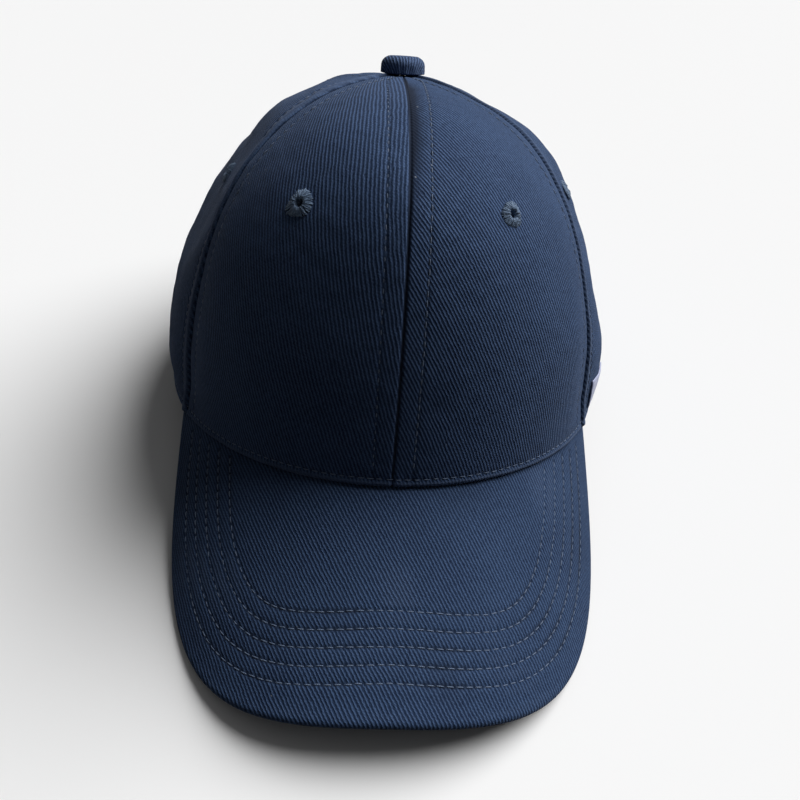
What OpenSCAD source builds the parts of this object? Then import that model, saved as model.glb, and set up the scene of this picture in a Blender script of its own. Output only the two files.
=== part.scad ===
// Six-panel baseball cap with a curved visor and an adjustable strap closure.
// The cap is laid out on its own brim line: the rim plane at z = 0, the front towards -Y and
// angles around the crown counted from the front (0) towards +X (90). The finished cap is then
// pitched nose-up, so that it stands on the two visor edges and on the back of its rim.

/* [Crown] */
// Half of the crown's outside width at the rim
crown_half_w = 86.4; // [78:0.2:92]
// From the crown's centre to the outside of the front of the rim
crown_front = 102.4; // [94:0.1:108]
// From the crown's centre to the outside of the back of the rim
crown_back = 97.1; // [90:0.1:104]
// Height of the top of the crown above the rim plane
crown_h = 115; // [105:0.1:130]
// How far behind the crown's centre the button sits
apex_back = 4; // [0:0.5:12]
// Fullness of the crown's sides, front and back profile, and shoulders
full_x = -0.12; // [-0.3:0.01:0.3]
full_y = 0.38; // [0:0.01:0.6]
full_z = 0.32; // [0:0.01:0.6]
// Backward slope of the top of the crown
lean = 0.2; // [0:0.01:0.35]

/* [Visor] */
// Radius that the visor is bent to
visor_r = 89; // [84:1:120]
// Downward slope of the visor's middle from the rim plane, in degrees
visor_slope = 31; // [15:1:36]
// Length of the visor along its middle
visor_len = 71.7; // [60:0.5:80]
// Half of the visor's width
visor_half_w = 78; // [72:0.1:80]
// Squareness of the visor's outline (2 is an ellipse)
visor_square = 2.98; // [2.2:0.02:3.4]
// Where the visor's corners meet the rim, in degrees from the front
corner_deg = 63.6; // [58:0.1:68]
// Thickness of the visor board
board_thk = 1.6; // [1.2:0.1:2.2]

/* [Fabric] */
// Thickness of a crown panel, with its turned seams
panel_thk = 0.9; // [0.7:0.1:1.2]
// Thickness of the stiffener behind the two front panels
buckram_thk = 0.7; // [0.5:0.1:0.9]
// Thickness of each visor cover
cover_thk = 0.7; // [0.5:0.1:1]
// Width of the tapes over the inside of the seams
tape_w = 12; // [8:1:14]
// Thickness of the seam tapes
tape_thk = 0.6; // [0.4:0.1:0.8]

/* [Button and eyelets] */
// Radius of the covered button
button_r = 7.8; // [6:0.1:9]
// Height of the covered button
button_h = 6.4; // [5:0.1:8]
// How far up the panels the eyelets sit (0 is the rim, 1 is the top)
eyelet_t = 0.445; // [0.36:0.01:0.6]
// Where the side eyelets sit, in degrees from the front
side_eyelet_deg = 78; // [70:1:100]
// Radius of the hole in each eyelet
eyelet_hole_r = 1.5; // [1.2:0.1:2]

/* [Closure] */
// Half of the width of the back opening at the rim, in degrees around the crown
arch_deg = 24.5; // [20:0.5:28]
// Height of the back opening (0 is the rim, 1 is the top)
arch_t = 0.235; // [0.18:0.005:0.26]
// Width of the adjusting strap
strap_w = 20; // [16:1:20]
// Thickness of the adjusting strap
strap_thk = 1.5; // [1.2:0.1:1.5]
// Where the buckle sits, in degrees around the strap from the back centre
buckle_at = -11.5; // [-13:0.5:-10]

/* [Stance] */
// Nose-up pitch at which the cap stands on a level surface, in degrees
pitch = 10.05; // [6:0.05:14]

/* [Hidden] */

navy = [0.12, 0.17, 0.27];
deep_navy = [0.08, 0.11, 0.19];
off_white = [0.86, 0.86, 0.83];
pewter = [0.45, 0.46, 0.48];

panel_cols = 10;      // grid steps across one panel
panel_rows = 16;      // grid steps from the rim to the top
top_t = 0.982;        // where the panels stop, round the button's shank
seam_gap = 0.13;      // half of the gap between two panels, in degrees
layer_gap = 0.2;      // space between two layers of cloth
dip_end = 141;        // where the side of the rim comes back to the rim plane
side_dip = 0.72;      // how strongly the visor's slope carries on along the rim
apex_tilt = atan(lean);

// ---------- Surfaces ----------

// A profile from 0 to 1 that is fuller than a plain circle by k
function full(u, k) = u * (1 + k * (1 - u));

corner_x = crown_half_w * sin(corner_deg);
corner_y = -crown_front * cos(corner_deg);
function arch_drop(x) = visor_r - sqrt(visor_r * visor_r - x * x);
function bent_visor(x, y) = (y + crown_front) * tan(visor_slope) - arch_drop(x);
seat_lift = -bent_visor(corner_x, corner_y);

// Height of the visor's upper surface, and the direction square to it
function seat_z(x, y) = bent_visor(x, y) + seat_lift;
function unit(v) = v / norm(v);
function seat_n(x, y) = unit([x / sqrt(visor_r * visor_r - x * x), -tan(visor_slope), 1]);

// Height of the rim: it sits on the visor in front and blends down to z = 0 behind
function rim_front(a) = seat_z(crown_half_w * sin(a), -crown_front * cos(a));
rim_slope = rim_front(corner_deg) - rim_front(corner_deg - 1);
function blend(u) = u * u * u - 2 * u * u + u;
function rim_side(a) = a >= dip_end ? 0
    : side_dip * rim_slope * (dip_end - corner_deg)
      * blend((a - corner_deg) / (dip_end - corner_deg));
function rim_z(a) = abs(a) < corner_deg ? rim_front(abs(a)) : rim_side(abs(a));

// The crown's outer surface at angle a and height t (0 is the rim, 1 is the top)
function crown_depth(a) = cos(a) > 0 ? crown_front : crown_back;
function crown(a, t) = let (
        c = cos(90 * t),
        h = full(sin(90 * t), full_z),
        y = -crown_depth(a) * cos(a) * full(c, full_y) + apex_back * (1 - c),
        z = rim_z(a) + (crown_h - rim_z(a)) * h - lean * (y - apex_back) * h
    ) [crown_half_w * sin(a) * full(c, full_x), y, z];
function crown_n(a, t) = unit(cross(
    crown(a + 0.1, t) - crown(a - 0.1, t), crown(a, t + 0.001) - crown(a, t - 0.001)));
// A point d below the outer surface
function crown_in(a, t, d) = crown(a, t) - d * crown_n(a, t);

// ---------- Building blocks ----------

// Stands the cap on a level surface, centred over the origin
function pitched(p) = [p[0], p[1] * cos(pitch) + p[2] * sin(pitch),
    -p[1] * sin(pitch) + p[2] * cos(pitch)];
module stand()
    translate([0, -(front_y + back_y) / 2, -foot_z])
        rotate([-pitch, 0, 0])
            children();

// A closed slab between two grids of points, the first one outside.
// Columns run to the right and rows run up as seen from outside.
module slab(outer, inner) {
    nu = len(outer);
    nv = len(outer[0]);
    m = nu * nv;
    points = [for (g = [outer, inner]) for (col = g) for (p = col) p];
    skin = [for (i = [0:nu - 2]) for (j = [0:nv - 2]) let (k = i * nv + j) each [
        [k, k + 1, k + nv + 1], [k, k + nv + 1, k + nv],
        [m + k, m + k + nv + 1, m + k + 1], [m + k, m + k + nv, m + k + nv + 1]]];
    ends = [for (i = [0:nu - 2]) let (k = i * nv, e = k + nv - 1) each [
        [k, k + nv, m + k + nv], [k, m + k + nv, m + k],
        [m + e, m + e + nv, e + nv], [m + e, e + nv, e]]];
    z = (nu - 1) * nv;
    sides = [for (j = [0:nv - 2]) each [
        [m + j, m + j + 1, j + 1], [m + j, j + 1, j],
        [z + j, z + j + 1, m + z + j + 1], [z + j, m + z + j + 1, m + z + j]]];
    polyhedron(points, concat(skin, ends, sides), convexity = 8);
}

// A piece of cloth on the crown, from depth d0 to depth d1, over a grid of [angle, height].
// The inner side of its lower edge is cut back upwards by the height hem.
module crown_cloth(grid, d0, d1, hem = 0)
    slab([for (col = grid) [for (g = col) crown_in(g[0], g[1], d0)]],
         [for (col = grid) [for (j = [0:len(col) - 1])
             crown_in(col[j][0], col[j][1] + (j == 0 ? hem : 0), d1)]]);

function panel_grid(a0, a1, t0 = 0, t1 = top_t) =
    [for (i = [0:panel_cols]) [for (j = [0:panel_rows])
        [a0 + (a1 - a0) * i / panel_cols, t0 + (t1 - t0) * j / panel_rows]]];

// Puts its children on the crown's outer surface with +Z pointing out of it
module on_crown(a, t) {
    n = crown_n(a, t);
    translate(crown(a, t))
        rotate([0, acos(n[2]), atan2(n[1], n[0])])
            children();
}
module eyelet_cut(a, r)
    on_crown(a, eyelet_t)
        cylinder(r = r, h = 12, center = true, $fn = 32);

// ---------- Crown panels ----------

panel_hole_r = eyelet_hole_r + 1.1;
panel_hem = 0.007;    // the turned edge of a panel rises inwards, clear of the visor
module front_panel(side) {
    a0 = side > 0 ? seam_gap : -60 + seam_gap;
    color(navy) stand()
        difference() {
            crown_cloth(panel_grid(a0, a0 + 60 - 2 * seam_gap), 0, panel_thk, panel_hem);
            eyelet_cut(side * 30, panel_hole_r);
        }
}
module side_panel(side) {
    a0 = side > 0 ? 60 + seam_gap : -120 + seam_gap;
    color(navy) stand()
        difference() {
            crown_cloth(panel_grid(a0, a0 + 60 - 2 * seam_gap), 0, panel_thk, panel_hem);
            eyelet_cut(side * side_eyelet_deg, panel_hole_r);
        }
}

// The back opening: its height at angle a, on an arch grown by k
function arch_low(a, k = 0) = let (u = (180 - abs(a)) / (arch_deg + k))
    u >= 1 ? 0 : (arch_t + k * 0.004) * sqrt(1 - u * u);
arch_steps = 8;
plain_steps = 8;
back_angles = concat(
    [for (i = [0:plain_steps - 1])
        120 + seam_gap + (60 - arch_deg - seam_gap) * i / plain_steps],
    [for (i = [0:arch_steps - 1]) 180 - arch_deg * cos(90 * i / arch_steps)],
    [180 - seam_gap]);
function back_col(a, low) = [for (j = [0:panel_rows]) [a, low + (top_t - low) * j / panel_rows]];
function flip(v) = [for (i = [len(v) - 1:-1:0]) v[i]];
module back_panel(side) {
    angles = side > 0 ? back_angles : flip(-back_angles);
    color(navy) stand()
        difference() {
            crown_cloth([for (a = angles) back_col(a, arch_low(a))], 0, panel_thk, panel_hem);
            eyelet_cut(side * 150, panel_hole_r);
        }
}

module buckram(side) {
    a0 = side > 0 ? 0.6 : -59.4;
    depth = panel_thk + layer_gap;
    color(off_white) stand()
        difference() {
            crown_cloth(panel_grid(a0, a0 + 58.8, 0.025, 0.92), depth, depth + buckram_thk);
            eyelet_cut(side * 30, panel_hole_r + 0.2);
        }
}

// ---------- Tapes, binding and sweatband ----------

// A tape of even width along the seam at angle a
tape_top = 0.9;
function tape_deg(t) = tape_w / 2 / (crown_half_w * full(cos(90 * t), full_x)) * 180 / PI;
function tape_grid(a, t0) = [for (k = [-1:1]) [for (j = [0:12])
    let (t = t0 + (tape_top - t0) * j / 12) [a + k * tape_deg(t), t]]];
module seam_tape(a, depth, t0 = 0.03)
    color(deep_navy) stand()
        crown_cloth(tape_grid(a, t0), depth, depth + tape_thk);

front_tape_depth = panel_thk + buckram_thk + 0.75;
back_tape_depth = panel_thk + 0.45;

// The narrow edging inside the back opening
binding_in = 1.1;
binding_out = 0.15;
module arch_binding() {
    grid = [for (i = [0:2 * arch_steps]) let (w = 90 * i / arch_steps)
        [for (k = [-binding_in, -binding_out])
            [180 - (arch_deg + k) * cos(w), max(0.002, (arch_t + k * 0.004) * sin(w))]]];
    color(deep_navy) stand()
        crown_cloth(grid, -0.4, panel_thk + 0.1);
}

band_depth = 5.2;
band_end = 180 - arch_deg - 2;
band_cols = 44;
function band_top(a) = 0.117 + 0.053 * (1 - cos(a)) / 2;
function band_drop(a) = 3.6 * max(0, min(1, (80 - abs(a)) / 15));
function band_point(a, j, d) =
    crown_in(a, band_top(a) * j / 3, d) - [0, 0, j == 0 ? band_drop(a) : 0];
module band(d, thk) {
    angles = [for (i = [0:band_cols]) -band_end + 2 * band_end * i / band_cols];
    stand()
        slab([for (a = angles) [for (j = [0:3]) band_point(a, j, d)]],
             [for (a = angles) [for (j = [0:3]) band_point(a, j, d + thk)]]);
}
module sweatband_backing()
    color(off_white) band(band_depth, 0.45);
module sweatband()
    color(deep_navy) band(band_depth + 0.6, 0.8);

// ---------- Button ----------

module on_top()
    stand()
        translate([0, apex_back, crown_h])
            rotate([-apex_tilt, 0, 0])
                children();

// Half section of a cap with rounded shoulders, as a solid disc
function dome(r, h, shoulder, z0) = concat([[0, z0], [r, z0]],
    [for (w = [0:15:90]) [r - shoulder + shoulder * cos(w), h - shoulder + shoulder * sin(w)]],
    [[0, h]]);
cover_low = 0.45;
module button_cover()
    color(navy) on_top()
        rotate_extrude($fn = 48)
            difference() {
                polygon(dome(button_r, button_h, 2.6, cover_low));
                polygon(dome(button_r - 0.7, button_h - 0.7, 2.1, cover_low + 0.6));
                square([button_r - 2.4, cover_low + 1]);
            }
shell_top = button_h - 0.85;
module button_shell()
    color(pewter) on_top()
        rotate_extrude($fn = 48) {
            difference() {
                polygon(dome(button_r - 0.85, shell_top, 1.95, cover_low + 0.75));
                polygon(dome(button_r - 1.35, shell_top - 0.5, 1.45, cover_low));
            }
            translate([1.25, 1.3])
                square([1, shell_top - 1.6]);
        }
tack_head_z = -2.9;
module button_tack()
    color(pewter) on_top()
        union() {
            translate([0, 0, tack_head_z - 0.8])
                cylinder(r = 5.5, h = 0.8, $fn = 40);
            translate([0, 0, tack_head_z - 0.1])
                cylinder(r = 1.15, h = 7.2, $fn = 24);
        }

// ---------- Visor ----------

visor_tuck = 1.7;     // how far the visor runs in under the edge of the crown
visor_cols = 28;
visor_rows = 7;
visor_reach = crown_front + visor_len * cos(visor_slope) + corner_y;
// The outline for q from -1 (left corner) to 1 (right corner)
function outline(q, inset) = let (
        w = 90 * pow(abs(q), 1.4),
        e = 2 / visor_square
    ) [sign(q) * (visor_half_w - inset) * pow(sin(w), e),
       corner_y - (visor_reach - inset) * pow(max(cos(w), 0), e)];
function tuck_line(q) = [(crown_half_w - visor_tuck) * sin(corner_deg * q),
    -(crown_front - visor_tuck) * cos(corner_deg * q)];
// A point at depth d below the seat: v = 0 is the outer edge, 1 is the inner edge
function visor_in(q, v, inset, d) = let (
        p = outline(q, inset) * (1 - v) + tuck_line(q) * v
    ) [p[0], p[1], seat_z(p[0], p[1])] - d * seat_n(p[0], p[1]);
function visor_grid(inset, d) = [for (i = [0:visor_cols]) [for (j = [0:visor_rows])
    visor_in(2 * i / visor_cols - 1, j / visor_rows, inset, d)]];
module visor_layer(inset, d, thk)
    stand()
        slab(visor_grid(inset, d), visor_grid(inset, d + thk));
board_depth = 0.3 + cover_thk + 0.15;
module visor_top_cover()
    color(navy) visor_layer(0, 0.3, cover_thk);
module visor_board()
    color(off_white) visor_layer(1.2, board_depth, board_thk);
under_depth = board_depth + board_thk + 0.15;
module visor_under_cover()
    color(navy) visor_layer(0, under_depth, cover_thk);

// ---------- Eyelets and labels ----------

module eyelet(a)
    color(deep_navy) stand() on_crown(a, eyelet_t)
        rotate_extrude($fn = 32)
            translate([eyelet_hole_r, 0])
                polygon([[0, -2.75], [2.5, -2.75], [2.5, -2.35], [0.9, -2.35], [0.9, 0.3],
                    [2.8, 0.3], [2.7, 0.75], [1.6, 1.05], [0, 1.0]]);

function patch(a0, a1, t0, t1) = [for (i = [0:4]) [for (j = [0:4])
    [a0 + (a1 - a0) * i / 4, t0 + (t1 - t0) * j / 4]]];
module side_label()
    color(off_white) stand()
        crown_cloth(patch(64, 74, 0.02, 0.078), -0.75, -0.3);
module care_label()
    color(off_white) stand()
        crown_cloth(patch(-148, -135, 0.03, 0.13), band_depth + 1.7, band_depth + 2.0);

// ---------- Strap closure ----------

// The back of the rim is close to a circle through its middle and through chord_x
chord_x = 50;
chord_sag = crown_back - crown_back * sqrt(1 - pow(chord_x / crown_half_w, 2));
closure_r = (chord_x * chord_x + chord_sag * chord_sag) / (2 * chord_sag);
closure_y = crown_back - closure_r;
strap_out = closure_r - panel_thk - 1.95;
strap_in = strap_out - strap_thk;
strap_z = 4;
strap_sewn_end = 42;
strap_tail_end = -38;

// A curved band from angle b0 to b1, counted from the back centre towards +X
module arc_band(r0, r1, z0, z1, b0, b1)
    translate([0, closure_y, 0])
        rotate([0, 0, 90 - b1])
            rotate_extrude(angle = b1 - b0, $fn = 180)
                translate([r0, z0])
                    square([r1 - r0, z1 - z0]);
module strap()
    color(navy) stand()
        arc_band(strap_in, strap_out, strap_z, strap_z + strap_w, strap_tail_end, strap_sewn_end);

// At the buckle, +X runs along the strap and +Y points out of the cap
module at_buckle()
    stand()
        translate([0, closure_y, 0])
            rotate([0, 0, -buckle_at])
                children();
ear_thk = 1.2;
ear_low = strap_z - 0.5;
ear_high = strap_z + strap_w + 0.5;
plate_out = sqrt(pow(strap_in - 0.35, 2) - pow(11.5, 2));
plate_in = plate_out - 1.2;
pin_x = -3;
pin_y = strap_out + 3.15;
pin_r = 0.9;
bar_x = -9.8;
bar_y = strap_out + 2.25;
bar_r = 1;
module buckle_ear()
    linear_extrude(ear_thk)
        difference() {
            union() {
                translate([-11.5, plate_in])
                    square([10.5, bar_y - plate_in]);
                translate([-11.5 + 1.7, bar_y])
                    circle(r = 1.7, $fn = 32);
                translate([pin_x, pin_y])
                    circle(r = 2.4, $fn = 40);
                translate([pin_x - 2.4, plate_in])
                    square([4.8, pin_y - plate_in]);
            }
            translate([pin_x, pin_y])
                circle(r = pin_r, $fn = 32);
        }
module buckle_frame()
    color(pewter) at_buckle()
        union() {
            translate([-11.5, plate_in, ear_low - ear_thk])
                cube([20, plate_out - plate_in, strap_w + 1 + 2 * ear_thk]);
            for (z = [ear_low - ear_thk, ear_high])
                translate([0, 0, z])
                    buckle_ear();
            translate([bar_x, bar_y, ear_low - 0.5])
                cylinder(r = bar_r, h = strap_w + 2, $fn = 32);
        }
module buckle_pin()
    color(pewter) at_buckle()
        translate([pin_x, pin_y, ear_low - ear_thk - 0.2])
            union() {
                cylinder(r = pin_r - 0.02, h = strap_w + 1 + 2 * ear_thk + 0.4, $fn = 32);
                translate([0, 0, -0.5])
                    cylinder(r = 1.6, h = 0.5, $fn = 32);
                translate([0, 0, strap_w + 1 + 2 * ear_thk + 0.4])
                    cylinder(r = 1.6, h = 0.5, $fn = 32);
            }
barrel_r = 2.1;
nose_r = 2.7;
lever_len = 14;
module buckle_lever()
    color(pewter) at_buckle()
        translate([pin_x, pin_y, strap_z - 0.2])
            linear_extrude(strap_w + 0.4)
                difference() {
                    union() {
                        circle(r = barrel_r, $fn = 40);
                        translate([0, barrel_r - 1.2])
                            square([lever_len - 0.6, 1.2]);
                        translate([lever_len - 0.6, barrel_r - 0.6])
                            circle(r = 0.6, $fn = 24);
                        polygon([[-1.2, -1.5], [-0.5, -nose_r], [0.5, -nose_r], [1.7, -1.2]]);
                    }
                    circle(r = pin_r + 0.05, $fn = 32);
                }
tab_end = buckle_at + atan2(bar_x, bar_y);
module tab_band(lift, thk, start)
    stand()
        arc_band(strap_out + lift, strap_out + lift + thk, strap_z + 3.5, strap_z + strap_w - 3.5,
            start, tab_end);
module buckle_tab()
    color(navy)
        union() {
            tab_band(0.2, 0.6, strap_tail_end);
            tab_band(0.6, 0.8, tab_end - 1.5);
            at_buckle()
                translate([bar_x, bar_y, strap_z + 3])
                    difference() {
                        cylinder(r = 1.95, h = strap_w - 6, $fn = 40);
                        translate([0, 0, -1])
                            cylinder(r = bar_r + 0.12, h = strap_w, $fn = 32);
                    }
        }

// ---------- Stance ----------

// What the cap stands on in front, and how far it reaches forwards and backwards once pitched
function visor_edge(d) = [for (i = [0:visor_cols])
    pitched(visor_in(2 * i / visor_cols - 1, 0, 0, d))];
foot_z = min([for (p = visor_edge(under_depth + cover_thk)) p[2]]);
front_y = min([for (p = visor_edge(0.3)) p[1]]);
lever_tip = closure_y - (pin_x + lever_len) * sin(buckle_at) + (pin_y + barrel_r) * cos(buckle_at);
back_y = pitched([0, lever_tip, strap_z + strap_w])[1];

// ---------- Nodes ----------

front_panel(-1);  // front_panel_left
front_panel(1);  // front_panel_right
side_panel(-1);  // side_panel_left
side_panel(1);  // side_panel_right
back_panel(-1);  // back_panel_left
back_panel(1);  // back_panel_right
buckram(-1);  // buckram_left
buckram(1);  // buckram_right
seam_tape(0, front_tape_depth);  // seam_tape_front
seam_tape(-60, front_tape_depth);  // seam_tape_front_left
seam_tape(60, front_tape_depth);  // seam_tape_front_right
seam_tape(-120, back_tape_depth);  // seam_tape_back_left
seam_tape(120, back_tape_depth);  // seam_tape_back_right
seam_tape(180, back_tape_depth, arch_t + 0.02);  // seam_tape_back
arch_binding();
sweatband();
sweatband_backing();
button_cover();
button_shell();
button_tack();
visor_board();
visor_top_cover();
visor_under_cover();
eyelet(-30);  // eyelet_front_left
eyelet(30);  // eyelet_front_right
eyelet(-side_eyelet_deg);  // eyelet_side_left
eyelet(side_eyelet_deg);  // eyelet_side_right
eyelet(-150);  // eyelet_back_left
eyelet(150);  // eyelet_back_right
side_label();
care_label();
strap();
buckle_tab();
buckle_frame();
buckle_pin();
buckle_lever();
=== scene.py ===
"""Looks of a navy six-panel baseball cap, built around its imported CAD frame.

Cloth is laid out in the cap's own frame, in millimetres, on the same surfaces as the CAD part:
the rim plane at z = 0, the front towards -Y, an angle a counted from the front towards +X and a
height t from 0 at the rim to 1 at the top. place() then stands it on the floor, in metres.
"""
import math

import bmesh
import bpy
import numpy as np
from mathutils import Matrix, Vector


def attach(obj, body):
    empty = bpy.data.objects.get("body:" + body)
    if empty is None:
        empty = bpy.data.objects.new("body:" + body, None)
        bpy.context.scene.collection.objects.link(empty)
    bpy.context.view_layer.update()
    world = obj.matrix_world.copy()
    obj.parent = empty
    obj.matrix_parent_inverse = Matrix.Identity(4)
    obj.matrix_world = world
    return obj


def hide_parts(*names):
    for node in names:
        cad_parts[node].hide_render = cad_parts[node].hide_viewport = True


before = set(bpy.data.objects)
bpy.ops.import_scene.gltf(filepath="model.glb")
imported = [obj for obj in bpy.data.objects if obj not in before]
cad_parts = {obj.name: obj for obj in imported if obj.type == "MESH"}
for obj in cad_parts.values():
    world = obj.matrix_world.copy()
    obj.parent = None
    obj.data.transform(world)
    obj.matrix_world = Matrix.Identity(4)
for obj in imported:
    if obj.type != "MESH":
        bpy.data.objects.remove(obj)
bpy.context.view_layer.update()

# ---------- Sizes in mm and degrees, the same as the part's ----------
HALF_W, FRONT, BACK, HEIGHT, APEX_BACK = 86.4, 102.4, 97.1, 115.0, 4.0
FULL_X, FULL_Y, FULL_Z, LEAN = -0.12, 0.38, 0.32, 0.2
VISOR_R, VISOR_SLOPE, VISOR_LEN, VISOR_HALF_W, VISOR_SQUARE = 89.0, 31.0, 71.7, 78.0, 2.98
CORNER = 63.6
DIP_END, SIDE_DIP = 141.0, 0.72
PITCH = 10.05
STAND = np.array([0.0, 31.539, 15.4637])
TOP_T = 0.982
PANEL_THK, BUCKRAM_THK, COVER_THK = 0.9, 0.7, 0.7
TAPE_W, TAPE_THK = 12.0, 0.6
BUTTON_R, BUTTON_H = 7.8, 6.4
EYELET_T, EYELET_HOLE_R, SIDE_EYELET = 0.445, 1.5, 78.0
ARCH, ARCH_T = 24.5, 0.235
BAND_DEPTH = 5.8
VISOR_TUCK = 1.7
CLOSURE_Y = 18.356
STRAP_OUT, STRAP_THK, STRAP_W, STRAP_Z = 75.894, 1.5, 20.0, 4.0
STRAP_TAIL, STRAP_SEWN = -38.0, 42.0
BUCKLE_AT, BAR_X, BAR_Y = -11.5, -9.8, 78.144
TAB_W = 13.0

# ---------- Sewing, in mm ----------
SEAM_ROW = 6.6          # from a seam to the topstitching beside it
RIM_ROW = 3.5           # from the rim to the row above it
STITCH, STITCH_GAP = 2.45, 0.65
STITCH_PITCH = STITCH + STITCH_GAP
THREAD_R = 0.2
VISOR_ROWS = [10.1 + 5.45 * k for k in range(5)]
RIB = 1.16              # from one twill rib to the next
MM = 0.001

# ---------- Colours ----------
NAVY_DARK = (0.004, 0.0105, 0.034, 1)
NAVY = (0.076, 0.134, 0.27, 1)
NAVY_WORN = (0.135, 0.18, 0.285, 1)
# Painted shade: the crown's navy made darker for the visor's cloth.
NAVY_VISOR_SHADED = (0.054, 0.099, 0.2, 1)
# Painted light: the crown's navy made lighter for the button's cloth.
NAVY_BUTTON_LIT = (0.11, 0.175, 0.33, 1)
# Painted shade: near black mixed into the twill in seam, rim and stitch grooves.
PAINTED_GROOVE_SHADE = (0.004, 0.008, 0.02, 1)
LINT = (0.3, 0.33, 0.38, 1)

# ---------- Light and camera, in degrees and mm ----------
FLOOR_HALF = 6.0        # in metres
LIGHTS = [("key", (0.65, 0.42, 0.8), 50, 4.15), ("top", (0.0, 0.0, 1.0), 90, 0.22)]
ROOM_COLOUR, ROOM_STRENGTH = (0.92, 0.95, 1.0, 1), 0.015
CAMERA_UP, CAMERA_ROUND, CAMERA_ROLL = 34.08, -4.63, 4.77
CAMERA_AIM, CAMERA_FAR, CAMERA_LENS = np.array([3.69, -60.0, 17.15]), 327.05, 40.56

# ---------- Surfaces ----------

def sind(a):
    return np.sin(np.radians(a))


def cosd(a):
    return np.cos(np.radians(a))


def full(u, k):
    return u * (1 + k * (1 - u))


def smooth(u):
    u = np.clip(u, 0, 1)
    return u * u * (3 - 2 * u)


def drop(x):
    return VISOR_R - np.sqrt(VISOR_R**2 - x**2)


def bent(x, y):
    return (y + FRONT) * math.tan(math.radians(VISOR_SLOPE)) - drop(x)


CORNER_X, CORNER_Y = HALF_W * sind(CORNER), -FRONT * cosd(CORNER)
SEAT_LIFT = -bent(CORNER_X, CORNER_Y)


def seat(x, y):
    return bent(x, y) + SEAT_LIFT


def unit(v):
    return v / np.maximum(np.linalg.norm(v, axis=-1, keepdims=True), 1e-12)


def distances(line):
    """How far along a line of points each of them is."""
    return np.concatenate([[0], np.cumsum(np.linalg.norm(np.diff(line, axis=0), axis=-1))])


def rim(a):
    """Height of the rim at an angle."""
    a = np.abs(a)

    def front(b):
        return seat(HALF_W * sind(b), -FRONT * cosd(b))

    steep = front(CORNER) - front(CORNER - 1)
    u = np.clip((a - CORNER) / (DIP_END - CORNER), 0, 1)
    side = SIDE_DIP * steep * (DIP_END - CORNER) * (u**3 - 2 * u * u + u)
    return np.where(a < CORNER, front(np.minimum(a, CORNER)), side)


def crown(a, t):
    """The crown's outer surface, as in the part."""
    a, t = np.broadcast_arrays(np.asarray(a, float), np.asarray(t, float))
    c, h = cosd(90 * t), full(sind(90 * t), FULL_Z)
    deep = np.where(cosd(a) > 0, FRONT, BACK)
    y = -deep * cosd(a) * full(c, FULL_Y) + APEX_BACK * (1 - c)
    z = rim(a) + (HEIGHT - rim(a)) * h - LEAN * (y - APEX_BACK) * h
    return np.stack([HALF_W * sind(a) * full(c, FULL_X), y, z], -1)


def crown_n(a, t):
    a, t = np.asarray(a, float), np.asarray(t, float)
    return unit(np.cross(crown(a + 0.1, t) - crown(a - 0.1, t),
                         crown(a, t + 0.001) - crown(a, t - 0.001)))


def wobble(p, size, seed, waves=9):
    """Smooth unevenness with features about size mm across."""
    rng = np.random.default_rng(seed)
    total = np.zeros(p.shape[:-1])
    for _ in range(waves):
        k = unit(rng.normal(size=3)) * 2 * np.pi / (size * rng.uniform(0.7, 1.6))
        total += np.sin(p @ k + rng.uniform(0, 6.28))
    return total * math.sqrt(2 / waves)


def slack(a, t):
    """How far the soft cloth stands off its even shape: little in front, more behind."""
    p = crown(a, t)
    behind = smooth((np.abs(a) - 50) / 45)
    hold = smooth(t / 0.16) * smooth((0.93 - t) / 0.2)
    near_back = smooth((30 - (180 - np.abs(a))) / 12) * smooth((0.5 - t) / 0.2)
    wide = (0.22 + 0.75 * behind) * wobble(p, 52, 5)
    fine = (0.05 + 0.14 * behind) * wobble(p, 17, 8)
    side = smooth((np.abs(a) - 55) / 20) * smooth((145 - np.abs(a)) / 35)
    belly = 2.2 * smooth(t / 0.07) * smooth((0.28 - t) / 0.18)
    sag = np.where(a < 0, 3.4, 2.4) * smooth((t - 0.17) / 0.2) * smooth((0.66 - t) / 0.26)
    crest = np.where(a < 0, 2.2, -0.7) * smooth((t - 0.5) / 0.2) * smooth((0.94 - t) / 0.2)
    valley = 2.0 * np.exp(-((np.abs(a) - 60) / 6.5) ** 2)
    valley = valley * smooth(t / 0.06) * smooth((0.5 - t) / 0.3)
    return (wide + fine) * hold * (1 - near_back) + (belly - sag + crest) * side - valley


def shape(a, t, depth=0.0):
    """A point of the soft crown at that depth, and the direction out of it."""
    n = crown_n(a, t)
    return crown(a, t) + (slack(a, t) - depth)[..., None] * n, n


def per_degree(a, t):
    """Millimetres along the crown for one degree at a height."""
    return np.linalg.norm(crown(a + 0.5, t) - crown(a - 0.5, t), axis=-1)


def along(a, seam, t):
    """Distance along the crown from the seam at that angle."""
    return np.abs(a - seam) * per_degree((a + seam) / 2, t)


def up_from_rim(a, t):
    """Distance up the crown from the rim."""
    return t * 1000 * np.linalg.norm(crown(a, t / 2 + 0.0005) - crown(a, t / 2 - 0.0005), axis=-1)


def tilt(v):
    """Turns a direction of the cap frame into the table's."""
    c, s = math.cos(math.radians(PITCH)), math.sin(math.radians(PITCH))
    v = np.asarray(v, float)
    return np.stack([v[..., 0], v[..., 1] * c + v[..., 2] * s,
                     -v[..., 1] * s + v[..., 2] * c], -1)


def place(p):
    return (tilt(p) + STAND) * MM


# ---------- Meshes ----------

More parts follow.
